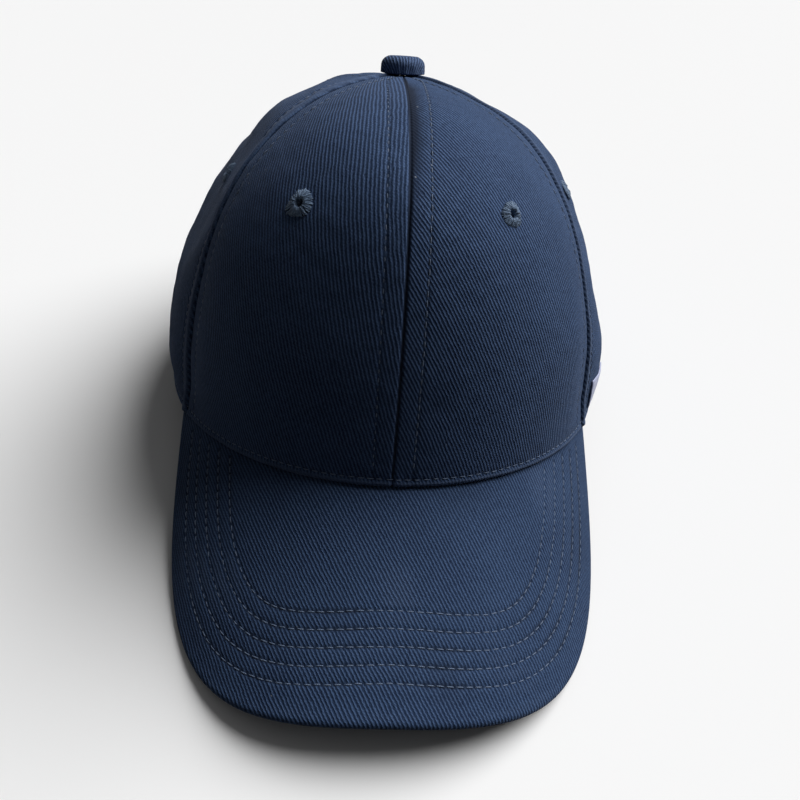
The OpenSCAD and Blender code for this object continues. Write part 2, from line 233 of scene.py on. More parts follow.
def make(name, points, faces, cloth, wear_and_groove_shade=None):
    """A smooth mesh from points of the cap frame. cloth is each point's place on its cloth in mm,
    and the last argument runs from -1 in a groove, which the twill paints darker as shade, to 1
    on a rubbed ridge, which it shows lighter as wear."""
    mesh = bpy.data.meshes.new(name)
    mesh.from_pydata(place(points).tolist(), [], [list(f) for f in faces])
    mesh.polygons.foreach_set("use_smooth", np.ones(len(mesh.polygons), bool))
    layer = mesh.attributes.new("cloth", "FLOAT_VECTOR", "POINT")
    flat = np.zeros((len(points), 3), np.float32)
    flat[:, :2] = cloth
    layer.data.foreach_set("vector", flat.ravel())
    layer = mesh.attributes.new("wear_and_groove_shade", "FLOAT", "POINT")
    layer.data.foreach_set("value", np.asarray(
        np.zeros(len(points)) if wear_and_groove_shade is None else wear_and_groove_shade, np.float32).ravel())
    mesh.validate()
    obj = bpy.data.objects.new(name, mesh)
    bpy.context.collection.objects.link(obj)
    return obj


def cloth_solid(name, outer, inner, flat, wear_and_groove_shade=None, holes=None, edge=0.3):
    """Closed cloth between two grids of points, with rounded edges. Columns run to the right and
    rows up, seen from the outer side. holes marks the cells that are left out."""
    nu, nv = outer.shape[:2]
    m = nu * nv
    idx = np.arange(m).reshape(nu, nv)
    quads = np.stack([idx[:-1, :-1], idx[1:, :-1], idx[1:, 1:], idx[:-1, 1:]], -1)
    top = quads.reshape(-1, 4) if holes is None else quads[~holes]
    out_p, in_p, flat = outer.reshape(-1, 3), inner.reshape(-1, 3), flat.reshape(-1, 2)
    wear_and_groove_shade = np.zeros(m) if wear_and_groove_shade is None else wear_and_groove_shade.ravel()
    ends = np.concatenate([top[:, [k, (k + 1) % 4]] for k in range(4)])
    middle = np.tile(out_p[top].mean(1), (4, 1))
    free = ~np.isin(ends[:, 0] * m + ends[:, 1], ends[:, 1] * m + ends[:, 0])
    ends, middle = ends[free], middle[free]
    away = np.zeros((m, 3))
    for k in (0, 1):
        np.add.at(away, ends[:, k], out_p[ends].mean(1) - middle)
    brim = np.unique(ends)
    across = out_p[brim] - in_p[brim]
    side = away[brim] - (away[brim] * unit(across)).sum(-1, keepdims=True) * unit(across)
    bulge = np.linalg.norm(across, axis=-1, keepdims=True) * edge * unit(side)
    mid_p = (out_p[brim] + in_p[brim]) / 2 + bulge
    mid = np.zeros(m, int)
    mid[brim] = 2 * m + np.arange(len(brim))
    a, b = ends[:, 0], ends[:, 1]
    faces = np.concatenate([top, top[:, ::-1] + m, np.stack([b, a, mid[a], mid[b]], -1),
                            np.stack([mid[b], mid[a], a + m, b + m], -1)])
    used, faces = np.unique(faces, return_inverse=True)
    faces = faces.reshape(-1, 4)
    points = np.concatenate([out_p, in_p, mid_p])[used]
    cloth = np.concatenate([flat, flat, flat[brim]])[used]
    rub_and_groove_shade = np.concatenate([wear_and_groove_shade, wear_and_groove_shade, wear_and_groove_shade[brim]])[used]
    return make(name, points, faces, cloth, rub_and_groove_shade)


def grid_normals(p):
    """The direction out of a grid of points."""
    du = np.gradient(p, axis=0)
    dv = np.gradient(p, axis=1)
    return unit(np.cross(du, dv))


def sweep(name, line, wide, out, section, closed=False, wear_and_groove_shade=None):
    """A closed section of (width, height) carried along a line of points."""
    n, k = len(line), len(section)
    p = (line[:, None] + section[None, :, 0, None] * wide[:, None]
         + section[None, :, 1, None] * out[:, None]).reshape(-1, 3)
    idx = np.arange(n * k).reshape(n, k)
    if closed:
        idx = np.vstack([idx, idx[:1]])
    nxt = np.roll(idx, -1, axis=1)
    faces = np.stack([idx[:-1], nxt[:-1], nxt[1:], idx[1:]], -1).reshape(-1, 4).tolist()
    if not closed:
        faces += [idx[0, ::-1].tolist(), idx[-1].tolist()]
    run = distances(line)
    cloth = np.stack(np.broadcast_arrays(run[:, None], section[None, :, 0]), -1).reshape(-1, 2)
    return make(name, p, faces, cloth, wear_and_groove_shade)


def soft_box(w, h, r, steps=6, across=20):
    """A section w wide and h high with rounded corners, counted anticlockwise."""
    half = np.array([[w / 2 - r, h / 2 - r]])
    turn = np.linspace(0, 90, steps)
    pts = []
    for k, sign in enumerate([(1, 1), (-1, 1), (-1, -1), (1, -1)]):
        a = turn + 90 * k
        pts.append(half * sign + r * np.stack([cosd(a), sind(a)], -1))
        if k in (0, 2):
            x = np.linspace(1, -1, across)[1:-1] * (w / 2 - r) * sign[1]
            pts.append(np.stack([x, np.full_like(x, sign[1] * h / 2)], -1))
    return np.concatenate(pts)


def ride_all(objs, body, material, replaces=()):
    """Gives pieces their material and body, and hides the frame's nodes that they replace."""
    for obj in objs:
        obj.data.materials.append(material)
        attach(obj, body)
    if replaces:
        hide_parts(*replaces)
    return objs


# ---------- Stitches ----------

class Thread:
    """Gathers rows of stitches into one mesh."""
    RINGS, SIDES = 7, 6

    def __init__(self, seed):
        self.rng = np.random.default_rng(seed)
        self.points, self.flat = [], []

    def row(self, line, out, radius=THREAD_R, length=STITCH, gap=STITCH_GAP, sink=0.16, rise=0.31):
        """Stitches along a line of points. They rise out of their holes and go back in."""
        run = distances(line)
        if run[-1] < length:
            return
        start = np.arange(gap / 2, run[-1] - length, length + gap)
        n = len(start)
        size = length * (1 + self.rng.normal(0, 0.04, n))
        u = np.linspace(0, 1, self.RINGS)
        s = start[:, None] + self.rng.normal(0, 0.05, (n, 1)) + u * size[:, None]
        at = np.stack([np.interp(s, run, line[:, k]) for k in range(3)], -1)
        ahead = np.stack([np.interp(s + 0.3, run, line[:, k]) - np.interp(s - 0.3, run, line[:, k])
                          for k in range(3)], -1)
        ahead = unit(ahead)
        up = unit(np.stack([np.interp(s, run, out[:, k]) for k in range(3)], -1))
        beside = unit(np.cross(ahead, up))
        arch = np.sin(np.pi * u) ** 0.55
        height = -sink + rise * arch * (1 + self.rng.normal(0, 0.08, (n, 1)))
        skew = self.rng.normal(0, 0.05, (n, 1)) + self.rng.normal(0, 0.05, (n, 1)) * (u - 0.5)
        middle = at + height[..., None] * up + skew[..., None] * beside
        r = radius * (0.45 + 0.55 * np.sin(np.pi * u) ** 0.4)
        w = np.linspace(0, 2 * np.pi, self.SIDES, endpoint=False)
        ring = (np.cos(w)[:, None] * beside[:, :, None] + 0.8 * np.sin(w)[:, None] * up[:, :, None])
        self.points.append(middle[:, :, None] + r[None, :, None, None] * ring)
        flat = np.zeros((n, self.RINGS, self.SIDES, 2))
        flat[..., 0] = s[..., None]
        flat[..., 1] = w * radius
        self.flat.append(flat)

    def finish(self, name):
        p = np.concatenate(self.points)
        n = len(p)
        idx = np.arange(n * self.RINGS * self.SIDES).reshape(n, self.RINGS, self.SIDES)
        nxt = np.roll(idx, -1, axis=2)
        quads = np.stack([idx[:, :-1], idx[:, 1:], nxt[:, 1:], nxt[:, :-1]], -1).reshape(-1, 4)
        faces = quads.tolist() + idx[:, 0].tolist() + idx[:, -1, ::-1].tolist()
        return make(name, p.reshape(-1, 3), faces, np.concatenate(self.flat).reshape(-1, 2))


# ---------- Crown panels ----------

def seam_reach(t):
    """Where the topstitching runs beside a seam: closer as the panels narrow to the top."""
    return np.minimum(SEAM_ROW, 0.36 * 60 * per_degree(0 * t + 90, t))


def drawn(d, run, wide, deep):
    """How far a row of stitches draws the cloth down at a distance from it."""
    return np.exp(-(d / wide) ** 2) * (deep + 0.1 * np.cos(2 * np.pi * run / STITCH_PITCH))


def seam_relief(d, run, puff):
    """Height of the cloth beside a seam: turned in at it, puffed over the allowance, drawn down by
    the stitches."""
    turn = -0.62 * np.exp(-(d / (0.42 + 0.5 * puff)) ** 2)
    swell = puff * smooth((d - 0.2) / 1.2) * smooth((SEAM_ROW - 0.2 - d) / 4.2)
    return turn + swell - drawn(d - SEAM_ROW, run, 0.6, 0.2)


def rim_relief(d, run):
    """Height of the cloth above the rim: turned in at it and drawn down by its row of stitches."""
    turn = -0.75 * np.exp(-(d / 0.8) ** 2)
    swell = 0.5 * smooth((d - 0.3) / 1.1) * smooth((RIM_ROW - 0.2 - d) / 1.4)
    return turn + swell - drawn(d - RIM_ROW, run, 0.55, 0.18)


def arch_low(a):
    """The height of the back opening's edge at an angle, 0 beside it."""
    u = np.clip((180 - np.abs(a)) / ARCH, 0, 1)
    return ARCH_T * np.sqrt(1 - u * u)


def arch_grow(a, t):
    """How far outside the back opening a point is, in mm."""
    beyond = np.hypot((180 - np.abs(a)) / ARCH, t / ARCH_T) - 1
    return np.where(np.abs(a) < 120, 99.0, beyond * ARCH * 1.45)


def seam_run(seam, t):
    """Distance along a seam from the rim up."""
    steps = np.linspace(0, 1, 400)
    line = crown(seam, steps)
    run = distances(line)
    return np.interp(t, steps, run)


def rim_run(a):
    """Distance around the rim from the middle of the back."""
    steps = np.linspace(-180, 180, 1441)
    line = crown(steps, 0 * steps)
    run = distances(line)
    return np.interp(a, steps, run)


def column_shares(width=90.0):
    """Where a panel's columns stand from 0 to 1: close together beside its seams."""
    edge = np.concatenate([np.linspace(0, 2.4, 9), np.linspace(2.9, 9.4, 14)]) / width
    middle = np.linspace(edge[-1], 1 - edge[-1], 70)[1:-1]
    return np.concatenate([edge, middle, 1 - edge[::-1]])


def row_shares():
    """Where a panel's rows stand from 0 at the rim to 1: close together at the rim."""
    low = np.linspace(0, 0.045, 16)
    return np.concatenate([low, np.linspace(low[-1], 1, 186)[1:]])


def relief(a, t, a0, a1, puff):
    """Everything the sewing does to a panel between two seams."""
    lift = np.zeros(a.shape)
    scale = SEAM_ROW / seam_reach(t)
    for seam, size in zip((a0, a1), puff):
        lift += seam_relief(along(a, seam, t) * scale, seam_run(seam, t), size)
    lift += rim_relief(up_from_rim(a, t), rim_run(a)) * (arch_low(a) < 0.01)
    beside = arch_grow(a, t)
    lift -= 0.2 * np.exp(-((beside - 4.6) / 0.6) ** 2)
    # The right front panel sinks beside the front seam; through the lift this strip is also painted
    # darker as shade.
    if a0 == 0:
        sunken = (0.3 + 0.7 * smooth((t - 0.35) / 0.3)) * smooth(t / 0.06)
        sunken = sunken * smooth((0.95 - t) / 0.12)
        lift -= 0.5 * (1 - smooth(along(a, a0, t) * scale / 6.8)) * sunken
    puckers = 0.03 * np.sin(2 * np.pi * seam_run(a0, t) / (3 * STITCH_PITCH) + 2)
    near = np.exp(-(((along(a, a0, t) * scale) - 4.2) / 1.6) ** 2)
    near += np.exp(-(((along(a, a1, t) * scale) - 4.2) / 1.6) ** 2)
    return np.maximum(lift + puckers * near, -0.78)


def panel_angles(a0, a1):
    """The angles of a panel's columns. A back panel's are close together over the opening."""
    if abs(a0 + a1) < 290:
        angles = a0 + (a1 - a0) * column_shares()
        angles[[0, -1]] += [0.02, -0.02]
        return angles
    near = column_shares()[:60] / column_shares()[59]
    plain = 120 + (60 - ARCH) * near * 0.985
    arch = 180 - ARCH * np.cos(np.linspace(0, np.pi / 2, 46))
    middle = np.linspace(plain[-1], arch[0], 3)[1:-1]
    angles = np.concatenate([plain, middle, arch])
    angles[-1] = 180 - 0.02
    angles[0] = 120 + 0.02
    return np.sort(np.sign(a0 + a1) * angles)


def panel(name, a0, a1, eyelet_a, puff, material):
    """One crown panel between two seams, with its eyelet hole."""
    angles = panel_angles(a0, a1)
    rows = row_shares()
    low = arch_low(angles)
    a = np.repeat(angles[:, None], len(rows), 1)
    t = low[:, None] + (TOP_T - low[:, None]) * rows
    base, n = shape(a, t)
    lift = relief(a, t, a0, a1, puff)
    fine = 0.03 * wobble(base, 5, 21)
    outer = base + (lift + fine * (lift > -0.3))[..., None] * n
    inner = base - PANEL_THK * n
    step = np.linalg.norm(np.diff(base, axis=1), axis=-1)
    fall = np.concatenate([np.zeros((len(angles), 1)), np.cumsum(step[:, ::-1], 1)], 1)[:, ::-1]
    mid = (a0 + a1) / 2
    flat = np.stack([(a - mid) * per_degree((a + mid) / 2, t), -fall], -1)
    centre = shape(np.array(float(eyelet_a)), np.array(EYELET_T))[0]
    cells = (base[:-1, :-1] + base[1:, 1:]) / 2
    holes = np.linalg.norm(cells - centre, axis=-1) < EYELET_HOLE_R + 0.75
    # The lift is also stored for the twill, which paints the seam, rim and stitch grooves darker as
    # shade.
    obj = cloth_solid(name, outer, inner, flat, np.clip(lift / 0.35, -1, 1), holes)
    obj.data.materials.append(material)
    width = (a1 - a0) * per_degree(np.array(mid), np.array(0.0))
    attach(obj, "cap")
    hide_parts(name.replace("_cloth", ""))
    return obj


def seam_rows(thread, seam, low=0.03, high=0.965):
    """Both rows of topstitching beside a seam. The one left of the front seam is sewn deeper."""
    t = np.linspace(low, high, 260)
    for side in (-1, 1):
        a = seam + side * seam_reach(t) / per_degree(seam + side * 2 + 0 * t, t)
        p, n = shape(a, t, 0.4 if seam == 0 and side < 0 else 0.2)
        thread.row(p, n)


def crown_stitching(material):
    """Every row of topstitching on the outside of the crown."""
    thread = Thread(11)
    for seam in (0, -60, 60, -120, 120):
        seam_rows(thread, seam)
    seam_rows(thread, 180, ARCH_T + 0.03)
    a = np.linspace(-180 + ARCH + 1.5, 180 - ARCH - 1.5, 900)
    t = RIM_ROW / up_from_rim(a, 0 * a + 0.02) * 0.02
    p, n = shape(a, t, 0.16)
    thread.row(p, n)
    w = np.linspace(4, 176, 200)
    k = 4.6 / 1.45
    a = 180 - (ARCH + k) * cosd(w)
    t = ARCH_T * (1 + k / ARCH) * sind(w)
    p, n = shape(np.where(a > 180, a - 360, a), t, 0.16)
    thread.row(p, n)
    ride_all([thread.finish("crown_stitching")], "cap", material)


# ---------- Visor ----------

SLOPE_C, SLOPE_S = cosd(VISOR_SLOPE), sind(VISOR_SLOPE)
BEND_X = np.linspace(-VISOR_R * 0.93, VISOR_R * 0.93, 1201)
BEND_U = np.concatenate([[0], np.cumsum(np.hypot(
    np.diff(BEND_X), np.diff(drop(BEND_X)) * SLOPE_C))])
BEND_U -= np.interp(0, BEND_X, BEND_U)


def unroll(x, y):
    """A point of the bent visor laid flat."""
    return np.stack([np.interp(x, BEND_X, BEND_U), y / SLOPE_C - drop(x) * SLOPE_S], -1)


def roll(flat):
    """A point of the flat visor back on the bent one, as (x, y)."""
    x = np.interp(flat[..., 0], BEND_U, BEND_X)
    return np.stack([x, (flat[..., 1] + drop(x) * SLOPE_S) * SLOPE_C], -1)


def visor_outline(q):
    """The visor's edge from above, as (x, y), for q from -1 to 1."""
    w, e = 90 * np.abs(q) ** 1.4, 2 / VISOR_SQUARE
    reach = FRONT + VISOR_LEN * SLOPE_C + CORNER_Y
    return np.stack([np.sign(q) * VISOR_HALF_W * sind(w) ** e,
                     CORNER_Y - reach * np.maximum(cosd(w), 0) ** e], -1)


def visor_nested(q, inset):
    """The outline again, that far inside the edge, on the flat visor."""
    edge = unroll(*np.moveaxis(visor_outline(q), -1, 0))
    corner = unroll(np.array(VISOR_HALF_W), np.array(CORNER_Y))
    front = unroll(np.array(0.0), visor_outline(np.array(0.0))[1])
    shorter = 1 - inset / (corner[1] - front[1])
    return np.stack([edge[..., 0] * (1 - inset / corner[0]),
                     corner[1] + (edge[..., 1] - corner[1]) * shorter], -1)


def nearest(points, line):
    """Distance from each flat point to a line of flat points, and the line's index there."""
    shape_, pts = points.shape[:-1], points.reshape(-1, 2)
    best, at = np.empty(len(pts)), np.empty(len(pts), int)
    for k in range(0, len(pts), 4000):
        d = np.linalg.norm(pts[k:k + 4000, None] - line[None], axis=-1)
        at[k:k + 4000] = d.argmin(1)
        best[k:k + 4000] = d.min(1)
    return best.reshape(shape_), at.reshape(shape_)


def visor_rows():
    """The stitch rows on the flat visor, where they are outside the crown."""
    rows = []
    edge = visor_nested(np.linspace(-1, 1, 1400), 0.0)
    ahead = unit(np.gradient(edge, axis=0))
    inwards = np.stack([-ahead[:, 1], ahead[:, 0]], -1)
    for inset in VISOR_ROWS:
        line = edge + inset * inwards
        line = line[nearest(line, edge)[0] > inset - 0.15]
        xy = roll(line)
        clear = np.hypot(xy[:, 0] / (HALF_W + 1.2), xy[:, 1] / (FRONT + 1.2)) > 1
        rows.append(line[clear & (xy[:, 1] < CORNER_Y - 1)])
    return rows


def on_visor(flat, depth):
    """A point of the bent visor at a depth below its seat, and the direction up out of it."""
    xy = roll(flat)
    x, y = xy[..., 0], xy[..., 1]
    n = unit(np.stack([x / np.sqrt(VISOR_R**2 - x**2), 0 * x - SLOPE_S / SLOPE_C, 0 * x + 1], -1))
    p = np.stack([x, y, seat(x, y)], -1)
    return p - np.asarray(depth)[..., None] * n, n


EDGE_R = 1.75
MID_DEPTH = 1.95


def visor_cover(name, node, under, material):
    """The cloth over or under the visor, drawn down by its rows and curled around the edge."""
    q = np.linspace(-1, 1, 221)
    edge = visor_nested(q, 0.0)
    tuck = unroll((HALF_W - VISOR_TUCK) * sind(CORNER * q),
                  -(FRONT - VISOR_TUCK) * cosd(CORNER * q))
    v = np.concatenate([np.linspace(0, 0.03, 11), np.linspace(0.04, 1, 108)])
    flat = edge[:, None] * (1 - v[:, None]) + tuck[:, None] * v[:, None]
    flat[0] += [0.02, 0.0]
    flat[-1] -= [0.02, 0.0]
    far, _ = nearest(flat, visor_nested(np.linspace(-1, 1, 1200), 0.0))
    inward = np.clip(far / EDGE_R, 0, 1)
    curl = (MID_DEPTH - 0.3) * (1 - np.sqrt(np.maximum(1 - (1 - inward) ** 2, 0)))
    lift = 0.08 * np.exp(-((far - 2.6) / 1.6) ** 2)
    for row in visor_rows():
        d, at = nearest(flat, row)
        run = distances(row)[at]
        lift -= drawn(d, run, 0.65, 0.2)
        lift += 0.02 * np.exp(-((d - 2.2) / 1.0) ** 2)
    p0, _ = on_visor(flat, 0.0)
    lift = lift + 0.045 * wobble(p0, 38, 31 + under) * smooth(far / 8)
    nose = 2.6 * np.exp(-((flat[..., 0] - 1) / 33) ** 2) * smooth((9.6 - far) / 9.6)
    flat = flat - np.stack([0 * nose, nose], -1)
    # body carries the rows' drawn-down lift to the twill, which paints the stitch rows darker as
    # shade.
    body = np.clip(lift / 0.3, -1, 1)
    if under:
        outer, _ = on_visor(flat, MID_DEPTH * 2 - 0.3 - curl + lift * (curl < 0.2) * 0.8)
        inner_side = -1
    else:
        outer, _ = on_visor(flat, 0.3 + curl - lift)
        inner_side = 1
    outer, flat_uv = outer[:, ::inner_side], flat[:, ::inner_side]
    body = body[:, ::inner_side]
    inner = outer - COVER_THK * grid_normals(outer)
    obj = cloth_solid(name, outer, inner, flat_uv, body, edge=0.15)
    ride_all([obj], "cap", material, [node])
    return obj


def visor_stitching(material):
    """The visor's five rows, seen from above and from below."""
    top, under = Thread(13), Thread(14)
    for row in visor_rows():
        p, n = on_visor(row, 0.3 + 0.18)
        top.row(p, n)
        p, n = on_visor(row, MID_DEPTH * 2 - 0.3 - 0.1)
        under.row(p, -n)
    ride_all([top.finish("visor_stitching_top"), under.finish("visor_stitching_under")],
             "cap", material)


# ---------- Button and eyelets ----------

def top_frame():
    """Directions and place of the crown's top, as the part sets the button."""
    tip = math.atan(LEAN)
    up = np.array([0, math.sin(tip), math.cos(tip)])
    back = np.array([0, math.cos(tip), -math.sin(tip)])
    return np.array([0, APEX_BACK, HEIGHT]), np.array([1.0, 0, 0]), back, up


def button(material):
    """Twill drawn over a low round shell and gathered underneath."""
    at, right, back, up = top_frame()
    shoulder, low = 3.1, 0.45
    turn = np.linspace(90, 0, 22)
    r = np.concatenate([np.linspace(0, BUTTON_R - shoulder, 18)[:-1],
                        BUTTON_R - shoulder + shoulder * cosd(turn),
                        np.full(8, BUTTON_R), BUTTON_R - np.linspace(0.1, 1.5, 6) ** 1.2])
    z = np.concatenate([np.full(17, BUTTON_H), BUTTON_H - shoulder + shoulder * sind(turn),
                        np.linspace(BUTTON_H - shoulder, low + 0.4, 9)[1:],
                        low + 0.35 - np.linspace(0, 0.3, 6)])
    z = z + 0.22 * (1 - np.clip(r / BUTTON_R, 0, 1) ** 2) * (z > BUTTON_H - 0.1)
    w = np.linspace(0, 360, 144, endpoint=False)
    down = smooth((BUTTON_H - 1.6 - z) / 3.5)
    gather = 0.13 * np.sin(np.radians(w[:, None] * 17) + 2 * np.sin(np.radians(w[:, None] * 3)))
    lump = 0.1 * np.sin(np.radians(w[:, None] * 2 + 40)) * (r / BUTTON_R)
    radius = r + gather * down + lump
    radius[:, 0] = 0
    p = (at + radius[..., None] * (cosd(w)[:, None, None] * right + sind(w)[:, None, None] * back)
         + z[None, :, None] * up)
    n, k = p.shape[:2]
    s = np.concatenate([[0], np.cumsum(np.hypot(np.diff(r), np.diff(z)))])
    flat = np.stack([s * cosd(w)[:, None], s * sind(w)[:, None]], -1)
    inner = at + (radius * 0.86)[..., None] * (
        cosd(w)[:, None, None] * right + sind(w)[:, None, None] * back) + (
        np.minimum(z, BUTTON_H - 0.1) * 0.9 - 0.02)[None, :, None] * up
    idx = np.arange(n * k).reshape(n, k)
    loop = np.vstack([idx, idx[:1]])
    out_f = np.stack([loop[:-1, 1:-1], loop[:-1, 2:], loop[1:, 2:], loop[1:, 1:-1]], -1)
    out_f = out_f.reshape(-1, 4)
    faces = out_f.tolist() + (out_f[:, ::-1] + n * k).tolist()
    tip_f = [[0, int(loop[i, 1]), int(loop[i + 1, 1])] for i in range(n)]
    faces += tip_f + [[f[0] + n * k, f[2] + n * k, f[1] + n * k] for f in tip_f]
    e0, e1 = loop[:-1, -1], loop[1:, -1]
    faces += np.stack([e0, e0 + n * k, e1 + n * k, e1], -1).tolist()
    points = np.concatenate([p.reshape(-1, 3), inner.reshape(-1, 3)])
    # Lighter with wear on the shoulder; painted shade at the base, where the cloth turns under.
    wear_and_groove_shade = np.tile(0.25 * smooth((s - 5) / 2) - 0.9 * smooth((s - 12) / 2), 2 * n)
    obj = make("button_cover_cloth", points, faces, np.concatenate([flat.reshape(-1, 2)] * 2), wear_and_groove_shade)
    drop_loose(obj)
    ride_all([obj], "cap", material, ["button_cover"])


def drop_loose(obj):
    """Leaves out points that no face uses."""
    bm = bmesh.new()
    bm.from_mesh(obj.data)
    bmesh.ops.delete(bm, geom=[v for v in bm.verts if not v.link_faces], context="VERTS")
    bmesh.ops.recalc_face_normals(bm, faces=bm.faces)
    bm.to_mesh(obj.data)
    bm.free()


def eyelet(node, a, seed, material):
    """Radial threads over a low ring, on both sides of the panel."""
    rng = np.random.default_rng(seed)
    at, n = shape(np.array(float(a)), np.array(EYELET_T))
    right = unit(crown(a + 1.0, EYELET_T) - crown(a - 1.0, EYELET_T))
    right = unit(right - right.dot(n) * n)
    up = np.cross(n, right)
    loops, rings, sides = 84, 9, 6
    grow = {-1: 0.11, 1: 0.03}[int(np.sign(a))] if abs(a) < 60 else 0.0
    deep = 2.9 if abs(a) < 60 else 1.6
    pts, faces, flat = [], [], []
    w6 = np.linspace(0, 2 * np.pi, sides, endpoint=False)
    for face_up in (1, -1):
        for k in range(loops):
            w = 2 * np.pi * (k + rng.normal(0, 0.12)) / loops
            stray = math.exp(-(((w - 3.95 + math.pi) % (2 * math.pi) - math.pi) / 0.42) ** 2)
            reach = (3.7 + rng.normal(0, 0.12) + 0.22 * math.sin(3 * w + seed)) * (1 + grow)
            reach += stray * grow * (4 + 9 * rng.random())
            crest = 0.9 + rng.normal(0, 0.12)
            r = np.array([1.42, 1.36, 1.46, 1.72, 2.1, 2.55, reach - 0.35, reach, reach + 0.02])
            z = np.array([-0.9, -0.2, 0.3, crest - 0.04, crest, crest - 0.08, 0.28, 0.02, -0.25])
            z = z if face_up > 0 else -deep - z
            twist = w + (r - 1.4) * rng.normal(0, 0.035)
            spoke = np.cos(twist)[:, None] * right + np.sin(twist)[:, None] * up
            side = -np.sin(twist)[:, None] * right + np.cos(twist)[:, None] * up
            line = at + r[:, None] * spoke + z[:, None] * n
            ahead = unit(np.gradient(line, axis=0))
            out = unit(np.cross(ahead, side))
            thick = (0.17 + 0.06 * (r - 1.4) / 2.0) * (1 + rng.normal(0, 0.1))
            ring = line[:, None] + thick[:, None, None] * (
                np.cos(w6)[:, None] * side[:, None] + np.sin(w6)[:, None] * out[:, None])
            base = len(pts) * rings * sides
            idx = base + np.arange(rings * sides).reshape(rings, sides)
            nxt = np.roll(idx, -1, axis=1)
            faces += np.stack([idx[:-1], nxt[:-1], nxt[1:], idx[1:]], -1).reshape(-1, 4).tolist()
            faces += [idx[0, ::-1].tolist(), idx[-1].tolist()]
            pts.append(ring)
            run = np.arange(rings)[:, None] * 0.5 + 0 * w6
            flat.append(np.stack([run + k * 3.1, w6 * 0.2 + 0 * run], -1))
    obj = make(node + "_threads", np.concatenate(pts).reshape(-1, 3), faces,
               np.concatenate(flat).reshape(-1, 2))
    core_w = np.linspace(0, 360, 64, endpoint=False)
    spoke = cosd(core_w)[:, None] * right + sind(core_w)[:, None] * up
    section = np.array([[1.5, -deep - 0.25], [2.75, -deep - 0.2], [2.8, -deep + 0.1],
                        [1.8, -deep + 0.15], [1.8, -0.1], [2.8, -0.05], [2.75, 0.28], [2.1, 0.5],
                        [1.5, 0.3]])
    core = sweep(node + "_core", np.tile(at, (64, 1)), spoke, np.tile(n, (64, 1)), section,
                 closed=True)
    ride_all([obj, core], "cap", material, [node])


# ---------- Inside ----------

def lining_grid(a0, a1, t0, t1, nu, nv):
    """An even grid of angles and heights."""
    a, t = np.meshgrid(np.linspace(a0, a1, nu), np.linspace(t0, t1, nv), indexing="ij")
    return a, t


def layer(name, node, a, t, depth, thk, material, slot, lift=None, holes=None, body="cap"):
    """A cloth layer inside the crown."""
    p, n = shape(a, t)
    lift = np.zeros(a.shape) if lift is None else lift
    outer = p - np.asarray(depth + 0 * a)[..., None] * n
    inner = p - (depth + thk + lift)[..., None] * n
    mid = a.mean()
    flat = np.stack([(a - mid) * per_degree((a + mid) / 2, t), up_from_rim(a, t)], -1)
    obj = cloth_solid(name, outer, inner, flat, np.clip(lift / 0.3, -1, 1), holes)
    ride_all([obj], body, material, [node])
    return obj


def buckram(side, material):
    """The stiff gauze behind one front panel."""
    a0 = 0.6 if side > 0 else -59.4
    a, t = lining_grid(a0, a0 + 58.8, 0.025, 0.895, 72, 96)
    p = crown(a, t)
    cells = (p[:-1, :-1] + p[1:, 1:]) / 2
    holes = np.linalg.norm(cells - crown(side * 30.0, EYELET_T), axis=-1) < EYELET_HOLE_R + 0.9
    name = "buckram_" + ("right" if side > 0 else "left")
    layer(name + "_cloth", name, a, t, PANEL_THK + 0.2, BUCKRAM_THK, material, "buckram",
          holes=holes)


def seam_tape(name, seam, depth, thread, material, low=0.03, high=0.9):
    """The tape sewn over a crown seam on the inside."""
    k, t = np.meshgrid(np.linspace(-1, 1, 25), np.linspace(low, high, 150), indexing="ij")
    half = TAPE_W / 2 / (HALF_W * full(cosd(90 * t), FULL_X)) * 180 / np.pi
    a = seam + k * half
    width = np.abs(k) * TAPE_W / 2
    lift = 0.22 * smooth((5 - width) / 2) - 0.2 * np.exp(-((width - 4.6) / 0.5) ** 2) + 0.1
    lift = np.maximum(lift, -0.1)
    layer(name + "_cloth", name, a, t, depth, TAPE_THK, material, "binding_tape", lift)
    for side in (-1, 1):
        t1 = np.linspace(low + 0.01, high - 0.01, 200)
        half = TAPE_W / 2 / (HALF_W * full(cosd(90 * t1), FULL_X)) * 180 / np.pi
        p, n = shape(seam + side * half * 4.6 / 6, t1, depth + TAPE_THK + 0.05)
        thread.row(p, -n, radius=0.2)


def band_top(a):
    """The height t of the sweatband's top."""
    return 0.117 + 0.053 * (1 - cosd(a)) / 2


def band_at(a, v, depth, rise=0.0):
    """A point of the sweatband at v of its height. In front it reaches below the rim."""
    t = band_top(a) * np.maximum(v, 0)
    sink = 3.6 * np.clip((80 - np.abs(a)) / 15, 0, 1) * np.clip(1 - 3 * v, 0, 1)
    p = crown(a, t) - np.asarray(depth)[..., None] * crown_n(a, t)
    return p - np.stack([0 * a, 0 * a, sink - rise], -1)


